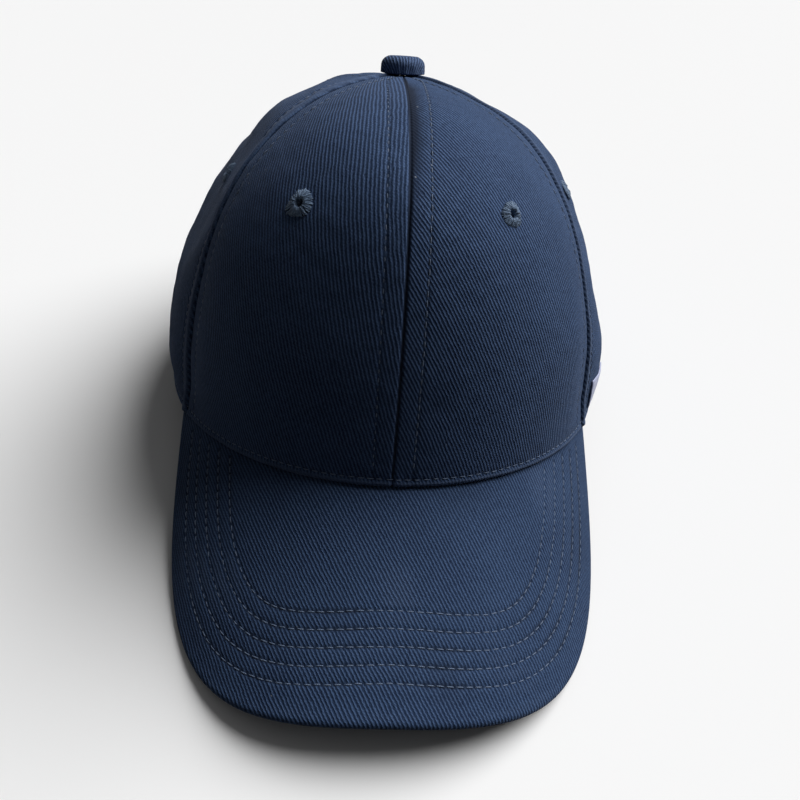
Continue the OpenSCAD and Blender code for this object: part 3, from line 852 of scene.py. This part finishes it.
def sweatband(band_m, backing_m, thread_m):
    """The band against the head, turned out under the front of the rim, and its interlining."""
    end = 180 - ARCH - 2
    angles = np.linspace(-end, end, 420)
    v = np.linspace(0, 1, 34)
    a, vv = np.meshgrid(angles, np.concatenate([np.zeros(8), v]), indexing="ij")
    front = np.clip((80 - np.abs(a)) / 15, 0, 1)
    out = np.concatenate([np.linspace(1, 0.12, 8), [0.03], np.zeros(33)])
    start = 1.3 + 1.9 * front
    depth = BAND_DEPTH + 0.8 - (BAND_DEPTH + 0.8 - start) * out
    rise = np.concatenate([np.full(8, -0.15), [-0.1], np.zeros(33)]) + 0 * a
    ripple = 0.16 * wobble(band_at(a, vv, depth), 26, 44) * smooth(vv * 4)
    lift = 0.12 * np.exp(-((vv - 0.95) / 0.05) ** 2) - 0.2 * np.exp(-((vv - 0.86) / 0.025) ** 2)
    lift -= 0.2 * np.exp(-((vv - 0.14) / 0.03) ** 2)
    head = band_at(a, vv, depth + ripple + lift, rise)
    head = head[::-1]
    thk = head - 0.75 * grid_normals(head)
    run = rim_run(a)[::-1]
    up = distances(head[200])
    flat = np.stack([run, up + 0 * run], -1)
    obj = cloth_solid("sweatband_cloth", head, thk, flat, np.clip(lift[::-1] / 0.3, -1, 1))
    ride_all([obj], "cap", band_m, ["sweatband"])
    a2, v2 = np.meshgrid(angles, np.linspace(0.04, 0.97, 16), indexing="ij")
    face = band_at(a2, v2, 5.2 + 0 * a2)
    back = band_at(a2, v2, 5.62 + 0 * a2)
    flat = np.stack([rim_run(a2), v2 * 30], -1)
    obj = cloth_solid("sweatband_backing_cloth", face, back, flat)
    ride_all([obj], "cap", backing_m, ["sweatband_backing"])
    thread = Thread(17)
    line_a = np.linspace(-end + 1, end - 1, 1200)
    for v1 in (0.14, 0.86):
        p = band_at(line_a, 0 * line_a + v1, 0 * line_a + BAND_DEPTH + 0.75)
        thread.row(p, -crown_n(line_a, band_top(line_a) * v1), radius=0.2)
    ride_all([thread.finish("sweatband_stitching")], "cap", thread_m)


def label(name, node, a0, a1, t0, t1, depth, thk, material):
    """A blank woven label, outside the crown where depth is negative."""
    a, t = lining_grid(a0, a1, t0, t1, 40, 32)
    fold = smooth((t - t0) / (t1 - t0) * 8) * smooth((t1 - t) / (t1 - t0) * 8)
    p, n = shape(a, t) if depth < 0 else (crown(a, t), crown_n(a, t))
    curl = 0.18 * (1 - fold) + 0.06 * wobble(p, 6, 51)
    outer = p - (depth + curl)[..., None] * n
    inner = p - (depth + thk + curl)[..., None] * n
    flat = np.stack([(a - a0) * per_degree(a, t), up_from_rim(a, t)], -1)
    obj = cloth_solid(name, outer, inner, flat, 0.6 - fold)
    ride_all([obj], "cap", material, [node])


# ---------- Back closure ----------

def arc(beta, r, z):
    """A point round the strap's own centre, beta counted from the back towards +X."""
    beta, r, z = np.broadcast_arrays(beta, r, z)
    return np.stack([r * sind(beta), CLOSURE_Y + r * cosd(beta), z], -1)


def strap(material, thread_m):
    """The adjusting strap, with a row of stitches along both edges of both faces."""
    beta = np.linspace(STRAP_TAIL, STRAP_SEWN, 260)
    mid_r, mid_z = STRAP_OUT - STRAP_THK / 2, STRAP_Z + STRAP_W / 2
    line = arc(beta, mid_r, mid_z)
    out = np.stack([sind(beta), cosd(beta), 0 * beta], -1)
    section = soft_box(STRAP_W, STRAP_THK, 0.62, across=74)
    dip = 0.14 * np.exp(-((np.abs(section[:, 0]) - 7.6) / 0.5) ** 2)
    section[:, 1] -= np.sign(section[:, 1]) * dip
    wide = np.tile([0, 0, 1.0], (len(beta), 1))
    # Lighter with wear along the edges; painted shade in the dips along the stitch rows.
    wear_and_groove_shade = np.tile(np.exp(-((10 - np.abs(section[:, 0])) / 0.6) ** 2) - 5 * dip, len(beta))
    obj = sweep("strap_cloth", line, -wide, out, section, wear_and_groove_shade=wear_and_groove_shade)
    thread = Thread(19)
    for z in (-7.6, 7.6):
        for face in (1, -1):
            p = arc(beta[3:-3], mid_r + face * (STRAP_THK / 2 - 0.12), mid_z + z)
            thread.row(p, face * out[3:-3], radius=0.2)
    stitches = thread.finish("strap_stitching")
    ride_all([obj], "strap", material, ["strap"])
    ride_all([stitches], "strap", thread_m)


def buckle_tab(material, thread_m):
    """The doubled tape that holds the buckle: a band that wraps the buckle's bar."""
    mid_z = STRAP_Z + STRAP_W / 2
    turn = math.radians(-BUCKLE_AT)
    bar = np.array([BAR_X * math.cos(turn) - BAR_Y * math.sin(turn),
                    CLOSURE_Y + BAR_X * math.sin(turn) + BAR_Y * math.cos(turn)])
    beta = np.linspace(-38, BUCKLE_AT + math.degrees(math.atan2(BAR_X, BAR_Y)) - 0.4, 60)
    band = arc(beta, STRAP_OUT + 0.5, mid_z)
    start = np.degrees(np.arctan2(*(band[-1, :2] - bar)[::-1]))
    w = np.linspace(start, start + 395, 60)
    radius = np.linspace(np.linalg.norm(band[-1, :2] - bar), 1.56, 60)
    loop = np.stack([bar[0] + radius * cosd(w), bar[1] + radius * sind(w), 0 * w + mid_z], -1)
    pieces = []
    for name, line in (("buckle_tab_cloth", band), ("buckle_tab_loop", loop)):
        ahead = unit(np.gradient(line, axis=0))
        wide = np.tile([0, 0, 1.0], (len(line), 1))
        out = np.cross(wide, ahead)
        thk = 0.64 if name == "buckle_tab_cloth" else 0.56
        pieces.append(sweep(name, line, wide, out, soft_box(TAB_W, thk, 0.26, across=40)))
    ride_all(pieces, "cap", material, ["buckle_tab"])
    thread = Thread(23)
    for z in (-4.6, 4.6):
        p = arc(beta[2:-8], STRAP_OUT + 0.78, mid_z + z)
        thread.row(p, unit(p - arc(beta[2:-8], 0.0, mid_z + z)), radius=0.2)
    ride_all([thread.finish("buckle_tab_stitching")], "cap", thread_m)


def arch_binding(material):
    """The folded tape around the back opening. Its row of stitches is returned unfinished."""
    w = np.linspace(1, 179, 220)
    k = -0.35
    a = 180 - (ARCH + k) * cosd(w)
    t = (ARCH_T + k * 0.004) * sind(w)
    a = np.where(a > 180, a - 360, a)
    line, n = shape(a, np.maximum(t, 0.002), PANEL_THK / 2 - 0.05)
    ahead = unit(np.gradient(line, axis=0))
    wide = unit(np.cross(n, ahead))
    turn = np.linspace(0, 360, 22, endpoint=False)
    section = np.stack([1.35 * np.sign(cosd(turn)) * np.abs(cosd(turn)) ** 0.8,
                        1.02 * np.sign(sind(turn)) * np.abs(sind(turn)) ** 0.8], -1)
    obj = sweep("arch_binding_cloth", line, wide, n, section)
    drop_loose(obj)
    ride_all([obj], "cap", material, ["arch_binding"])
    thread = Thread(29)
    lift = line[4:-4] + 0.95 * n[4:-4] - 0.1 * wide[4:-4]
    thread.row(lift, n[4:-4], radius=0.18, length=2.0, gap=0.5, sink=0.1, rise=0.22)
    return thread


# ---------- Materials ----------

class Graph:
    """A material's nodes, with short ways to add them."""

    def __init__(self, name, **inputs):
        self.material = bpy.data.materials.new(name)
        self.material.use_nodes = True
        self.tree = self.material.node_tree
        self.shader = self.tree.nodes["Principled BSDF"]
        for key, value in inputs.items():
            self.set(self.shader, key.replace("_", " "), value)

    def set(self, node, key, value):
        socket = node.inputs[key]
        if isinstance(value, bpy.types.NodeSocket):
            self.tree.links.new(value, socket)
        else:
            socket.default_value = value

    def node(self, kind, inputs=(), out=0, **props):
        node = self.tree.nodes.new(kind)
        for key, value in props.items():
            setattr(node, key, value)
        for key, value in dict(inputs).items():
            self.set(node, key, value)
        return node.outputs[out]

    def math(self, op, a, b=0.0, c=0.0):
        return self.node("ShaderNodeMath", {0: a, 1: b, 2: c}, operation=op)

    def mul(self, a, b):
        return self.math("MULTIPLY", a, b)

    def add(self, a, b):
        return self.math("ADD", a, b)

    def noise(self, vector, scale, detail=2.0, rough=0.5):
        return self.node("ShaderNodeTexNoise", {"Vector": vector, "Scale": scale, "Detail": detail,
                                                "Roughness": rough}, out="Fac")

    def attribute(self, name, out):
        return self.node("ShaderNodeAttribute", out=out, attribute_name=name)

    def turned(self, vector, degrees, scale=(1, 1, 1)):
        return self.node("ShaderNodeMapping", {"Vector": vector, "Scale": scale,
                                               "Rotation": (0, 0, math.radians(degrees))})

    def axis(self, vector, k):
        return self.node("ShaderNodeSeparateXYZ", {0: vector}, out=k)

    def ribs(self, x, pitch):
        """A wave from 0 to 1 with that pitch."""
        wave = self.math("COSINE", self.mul(x, 2 * math.pi / pitch))
        return self.math("MULTIPLY_ADD", wave, 0.5, 0.5)

    def span(self, value, a0, a1, b0, b1):
        return self.node("ShaderNodeMapRange", {"Value": value, "From Min": a0, "From Max": a1,
                                                "To Min": b0, "To Max": b1})

    def mix(self, fac, a, b):
        node = self.tree.nodes.new("ShaderNodeMix")
        node.data_type = "RGBA"
        self.set(node, 0, fac)
        self.set(node, 6, a)
        self.set(node, 7, b)
        return node.outputs[2]

    def bump(self, height, mm, strength=1.0):
        normal = self.node("ShaderNodeBump", {"Height": height, "Distance": mm * MM,
                                              "Strength": strength})
        self.set(self.shader, "Normal", normal)


def twill(name, lean, dark=NAVY_DARK, light=NAVY, depth=0.2):
    """Navy cotton twill: ribs that lean to the left of upright by that many degrees, each one
    made of short slanting yarns, over a slightly uneven dye. Rubbed ridges are lighter with wear,
    and sunken grooves are mixed towards near black as painted shade."""
    g = Graph(name, Sheen_Weight=0.09, Sheen_Roughness=0.4)
    g.set(g.shader, "Specular IOR Level", 0.18)
    g.set(g.shader, "Sheen Tint", (0.62, 0.72, 0.95, 1))
    cloth = g.attribute("cloth", "Vector")
    wear_and_groove_shade = g.attribute("wear_and_groove_shade", "Fac")
    wander = g.noise(cloth, 0.16, 3.0, 0.6)
    jog = g.noise(cloth, 1.4, 1.0)
    turned = g.turned(cloth, -lean)
    x = g.add(g.axis(turned, 0), g.add(g.mul(wander, 0.9), g.mul(jog, 0.5)))
    y = g.axis(turned, 1)
    rib = g.math("POWER", g.ribs(x, RIB), 1.3)
    clear = g.span(wear_and_groove_shade, 0.3, 0.9, 1.0, 0.4)
    rib = g.add(g.mul(rib, clear), g.mul(g.math("SUBTRACT", 1.0, clear), 0.4))
    step = g.mul(g.math("FLOOR", g.mul(x, 1 / RIB)), 0.31)
    float_ = g.ribs(g.add(g.add(y, step), g.mul(x, 0.55)), 1.15)
    fibre = g.noise(g.turned(cloth, -lean, (3.2, 0.45, 1)), 1.0, 3.0, 0.65)
    grain = g.noise(cloth, 2.6, 2.0, 0.7)
    broad = g.noise(cloth, 0.035, 2.0)
    height = g.add(g.mul(rib, 0.72), g.add(g.mul(g.mul(rib, float_), 0.2), g.mul(grain, 0.3)))
    height = g.mul(height, g.span(wear_and_groove_shade, -0.7, -0.1, 0.1, 1.0))
    g.bump(height, depth)
    tone = g.add(g.mul(rib, 0.5), g.add(g.mul(g.mul(rib, float_), 0.42),
                                        g.add(g.mul(fibre, 1.1), g.add(g.mul(broad, 0.3),
                                                                       g.mul(grain, 0.9)))))
    tone = g.span(tone, 0.93, 2.02, 0.0, 1.0)
    colour = g.mix(tone, dark, light)
    rubbed = g.mul(g.span(wear_and_groove_shade, 0.2, 1.0, 0.0, 0.38), g.span(grain, 0.35, 0.65, 0.4, 1.0))
    colour = g.mix(rubbed, colour, NAVY_WORN)
    # Painted shade: where the cloth is sunk at seams, stitch rows and the button's base, the colour
    # goes towards near black.
    groove_shade_mask = g.span(wear_and_groove_shade, -1.0, -0.15, 0.86, 0.0)
    colour = g.mix(groove_shade_mask, colour, PAINTED_GROOVE_SHADE)
    speck = g.tree.nodes.new("ShaderNodeTexVoronoi")
    g.set(speck, "Vector", cloth)
    g.set(speck, "Scale", 0.14)
    tiny = g.math("LESS_THAN", speck.outputs["Distance"], 0.036)
    rare = g.math("GREATER_THAN", g.axis(speck.outputs["Color"], 0), 0.72)
    colour = g.mix(g.mul(g.mul(tiny, rare), 0.7), colour, LINT)
    g.set(g.shader, "Base Color", colour)
    g.set(g.shader, "Roughness", g.span(rib, 0.0, 1.0, 0.97, 0.8))
    return g.material


def thread_material(name, dark, light):
    """Sewing thread with its ply and a little fuzz."""
    g = Graph(name, Sheen_Weight=0.12, Sheen_Roughness=0.35)
    g.set(g.shader, "Specular IOR Level", 0.35)
    cloth = g.attribute("cloth", "Vector")
    ply = g.ribs(g.add(g.axis(cloth, 0), g.mul(g.axis(cloth, 1), 1.1)), 0.55)
    fuzz = g.noise(cloth, 4.0, 2.0)
    g.bump(g.add(ply, g.mul(fuzz, 0.5)), 0.06)
    tone = g.span(g.add(g.mul(ply, 0.6), fuzz), 0.3, 1.3, 0.0, 1.0)
    g.set(g.shader, "Base Color", g.mix(tone, dark, light))
    g.set(g.shader, "Roughness", g.span(fuzz, 0.2, 0.8, 0.5, 0.72))
    return g.material


def plain_weave(name, dark, light, pitch, rough, sheen=0.2, depth=0.12, open_=False):
    """A plain woven or netted cloth."""
    g = Graph(name, Sheen_Weight=sheen, Sheen_Roughness=0.5)
    g.set(g.shader, "Specular IOR Level", 0.2)
    cloth = g.attribute("cloth", "Vector")
    sway = g.mul(g.noise(cloth, 0.5, 2.0), 0.6)
    warp = g.ribs(g.add(g.axis(cloth, 0), sway), pitch)
    weft = g.ribs(g.add(g.axis(cloth, 1), sway), pitch)
    over = g.math("MAXIMUM", warp, weft) if open_ else g.math("MULTIPLY", warp, weft)
    grain = g.noise(cloth, 2.2, 3.0, 0.7)
    broad = g.noise(cloth, 0.06, 2.0)
    g.bump(g.add(over, g.mul(grain, 0.4)), depth)
    tone = g.span(g.add(g.mul(over, 0.5), g.add(g.mul(grain, 0.5), g.mul(broad, 0.4))),
                  0.25, 1.2, 0.0, 1.0)
    g.set(g.shader, "Base Color", g.mix(tone, dark, light))
    g.set(g.shader, "Roughness", g.span(grain, 0.2, 0.8, rough - 0.08, rough + 0.08))
    return g.material


def metal(name, dark, light, rough, grain_scale):
    """Brushed metal with darker hollows, by the object's own position in metres."""
    g = Graph(name, Metallic=1.0)
    here = g.node("ShaderNodeTexCoord", out="Object")
    brush = g.noise(g.turned(here, 0, (1, 1, 14)), grain_scale, 4.0, 0.6)
    cloud = g.noise(here, 160.0, 3.0, 0.6)
    g.bump(g.add(brush, g.mul(cloud, 0.6)), 0.03)
    g.set(g.shader, "Base Color", g.mix(g.span(g.add(g.mul(brush, 0.4), g.mul(cloud, 0.6)),
                                               0.3, 0.68, 0.0, 1.0), dark, light))
    g.set(g.shader, "Roughness", g.span(g.add(brush, cloud), 0.6, 1.4, rough - 0.1, rough + 0.12))
    return g.material


def plastic(name):
    """The visor board's moulded sheet."""
    g = Graph(name)
    here = g.node("ShaderNodeTexCoord", out="Object")
    cloud = g.noise(here, 240.0, 4.0, 0.6)
    g.bump(cloud, 0.05)
    g.set(g.shader, "Base Color", g.mix(cloud, (0.74, 0.74, 0.7, 1), (0.86, 0.86, 0.84, 1)))
    g.set(g.shader, "Roughness", g.span(cloud, 0.3, 0.7, 0.42, 0.6))
    return g.material


def repaint(node, material):
    """Gives a node of the frame a better material."""
    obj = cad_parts[node]
    obj.data.materials.clear()
    obj.data.materials.append(material)


# ---------- Scene ----------

def build():
    """Every piece of the cap, each with its cloth or paint."""
    fabric = {
        "front_left": twill("twill_front_left", 20.0),
        "front_right": twill("twill_front_right", 23.0),
        "sides": twill("twill_sides", 24.0),
        # Painted shade on the visor and painted light on the button: their twills are darker and
        # lighter copies of the crown's.
        "visor": twill("twill_visor_shaded", 28.0, light=NAVY_VISOR_SHADED),
        "button": twill("twill_button_lit", 4.0, light=NAVY_BUTTON_LIT),
        "strap": twill("twill_strap", 62.0),
    }
    thread_m = thread_material("navy_thread", (0.042, 0.068, 0.125, 1), (0.19, 0.25, 0.37, 1))
    # Painted light: a lighter copy of the navy thread for the eyelets, to offset their own shade.
    eyelet_lit_thread_m = thread_material("navy_eyelet_thread_lit", (0.042, 0.078, 0.145, 1),
                               (0.2, 0.29, 0.43, 1))
    tape_m = plain_weave("woven_tape", (0.008, 0.012, 0.026, 1), (0.026, 0.038, 0.072, 1), 0.7,
                         0.85)
    band_m = plain_weave("band_cotton", (0.01, 0.016, 0.034, 1), (0.034, 0.05, 0.092, 1), 0.55,
                         0.88)
    gauze_m = plain_weave("stiff_gauze", (0.42, 0.42, 0.39, 1), (0.82, 0.82, 0.78, 1), 1.1, 0.8,
                          0.1, 0.22, True)
    felt_m = plain_weave("interlining_felt", (0.62, 0.62, 0.6, 1), (0.84, 0.84, 0.82, 1), 2.3,
                         0.92)
    label_m = plain_weave("label_satin", (0.36, 0.4, 0.6, 1), (0.66, 0.7, 0.92, 1), 0.42, 0.6, 0.3,
                          0.05)
    pewter = metal("pewter", (0.16, 0.16, 0.165, 1), (0.4, 0.4, 0.405, 1), 0.4, 620.0)
    zinc = metal("zinc_steel", (0.45, 0.45, 0.45, 1), (0.7, 0.7, 0.7, 1), 0.36, 500.0)
    panels = [("front_panel_left", -60, 0, -30, (0.14, 0.07), "front_left"),
              ("front_panel_right", 0, 60, 30, (0.07, 0.14), "front_right"),
              ("side_panel_left", -120, -60, -SIDE_EYELET, (0.2, 0.95), "sides"),
              ("side_panel_right", 60, 120, SIDE_EYELET, (0.95, 0.2), "sides"),
              ("back_panel_left", -180, -120, -150, (0.15, 0.2), "sides"),
              ("back_panel_right", 120, 180, 150, (0.2, 0.15), "sides")]
    for name, a0, a1, hole, puff, cloth in panels:
        panel(name + "_cloth", float(a0), float(a1), float(hole), puff, fabric[cloth])
    crown_stitching(thread_m)
    visor_cover("visor_top_cover_cloth", "visor_top_cover", 0, fabric["visor"])
    visor_cover("visor_under_cover_cloth", "visor_under_cover", 1, fabric["visor"])
    visor_stitching(thread_m)
    button(fabric["button"])
    for k, (node, a) in enumerate([("eyelet_front_left", -30), ("eyelet_front_right", 30),
                                   ("eyelet_side_left", -SIDE_EYELET),
                                   ("eyelet_side_right", SIDE_EYELET),
                                   ("eyelet_back_left", -150), ("eyelet_back_right", 150)]):
        eyelet(node, a, 60 + k, eyelet_lit_thread_m)
    for side in (-1, 1):
        buckram(side, gauze_m)
    taping = Thread(37)
    front_depth, back_depth = PANEL_THK + BUCKRAM_THK + 0.75, PANEL_THK + 0.45
    for name, seam, depth, low in [("seam_tape_front", 0, front_depth, 0.03),
                                   ("seam_tape_front_left", -60, front_depth, 0.03),
                                   ("seam_tape_front_right", 60, front_depth, 0.03),
                                   ("seam_tape_back_left", -120, back_depth, 0.03),
                                   ("seam_tape_back_right", 120, back_depth, 0.03),
                                   ("seam_tape_back", 180, back_depth, ARCH_T + 0.02)]:
        seam_tape(name, float(seam), depth, taping, tape_m, low)
    ride_all([taping.finish("tape_stitching")], "cap", thread_m)
    sweatband(band_m, felt_m, thread_m)
    label("side_label_cloth", "side_label", 65.5, 75.5, 0.02, 0.07, -0.8, 0.45, label_m)
    label("care_label_cloth", "care_label", -148, -135, 0.03, 0.13, 6.9, 0.3, label_m)
    strap(fabric["strap"], thread_m)
    buckle_tab(fabric["strap"], thread_m)
    binding = arch_binding(tape_m)
    ride_all([binding.finish("binding_stitching")], "cap", thread_m)
    for node in ("buckle_frame", "buckle_pin", "buckle_lever"):
        repaint(node, pewter)
    for node in ("button_shell", "button_tack"):
        repaint(node, zinc)
    repaint("visor_board", plastic("board_plastic"))


def stage():
    """A pale floor, a broad key light from the right and behind, and a little light all round."""
    mesh = bpy.data.meshes.new("floor")
    s = FLOOR_HALF
    mesh.from_pydata([(-s, -s, 0), (s, -s, 0), (s, s, 0), (-s, s, 0)], [], [(0, 1, 2, 3)])
    floor = bpy.data.objects.new("floor", mesh)
    bpy.context.collection.objects.link(floor)
    g = Graph("floor_paint", Roughness=0.8)
    g.set(g.shader, "Base Color", (0.9, 0.9, 0.9, 1))
    g.set(g.shader, "Specular IOR Level", 0.1)
    floor.data.materials.append(g.material)
    floor.visible_diffuse = False
    for name, towards, angle, power in LIGHTS:
        light = bpy.data.lights.new(name, "SUN")
        light.angle = math.radians(angle)
        light.energy = power
        obj = bpy.data.objects.new(name, light)
        obj.rotation_euler = Vector(towards).to_track_quat("Z", "Y").to_euler()
        bpy.context.collection.objects.link(obj)
    world = bpy.data.worlds.new("room")
    world.use_nodes = True
    back = world.node_tree.nodes["Background"]
    back.inputs["Color"].default_value = ROOM_COLOUR
    back.inputs["Strength"].default_value = ROOM_STRENGTH
    bpy.context.scene.world = world
    bpy.context.scene.view_settings.view_transform = "Standard"


def camera():
    """Seen from in front and above, slightly from the left, with a slight roll."""
    el, az, turn = (math.radians(v) for v in (CAMERA_UP, CAMERA_ROUND, CAMERA_ROLL))
    back = np.array([math.sin(az) * math.cos(el), -math.cos(az) * math.cos(el), math.sin(el)])
    right = unit(np.cross(-back, [0, 0, 1]))
    up = np.cross(right, -back)
    x = right * math.cos(turn) + up * math.sin(turn)
    y = up * math.cos(turn) - right * math.sin(turn)
    spot = place(CAMERA_AIM + CAMERA_FAR * back)
    data = bpy.data.cameras.new("camera")
    data.lens = CAMERA_LENS
    data.sensor_width = 36
    data.clip_start = 0.01
    obj = bpy.data.objects.new("camera", data)
    rows = np.eye(4)
    rows[:3, 0], rows[:3, 1], rows[:3, 2], rows[:3, 3] = tilt(x), tilt(y), tilt(back), spot
    obj.matrix_world = Matrix(rows.tolist())
    bpy.context.collection.objects.link(obj)
    bpy.context.scene.camera = obj


build()
stage()
camera()
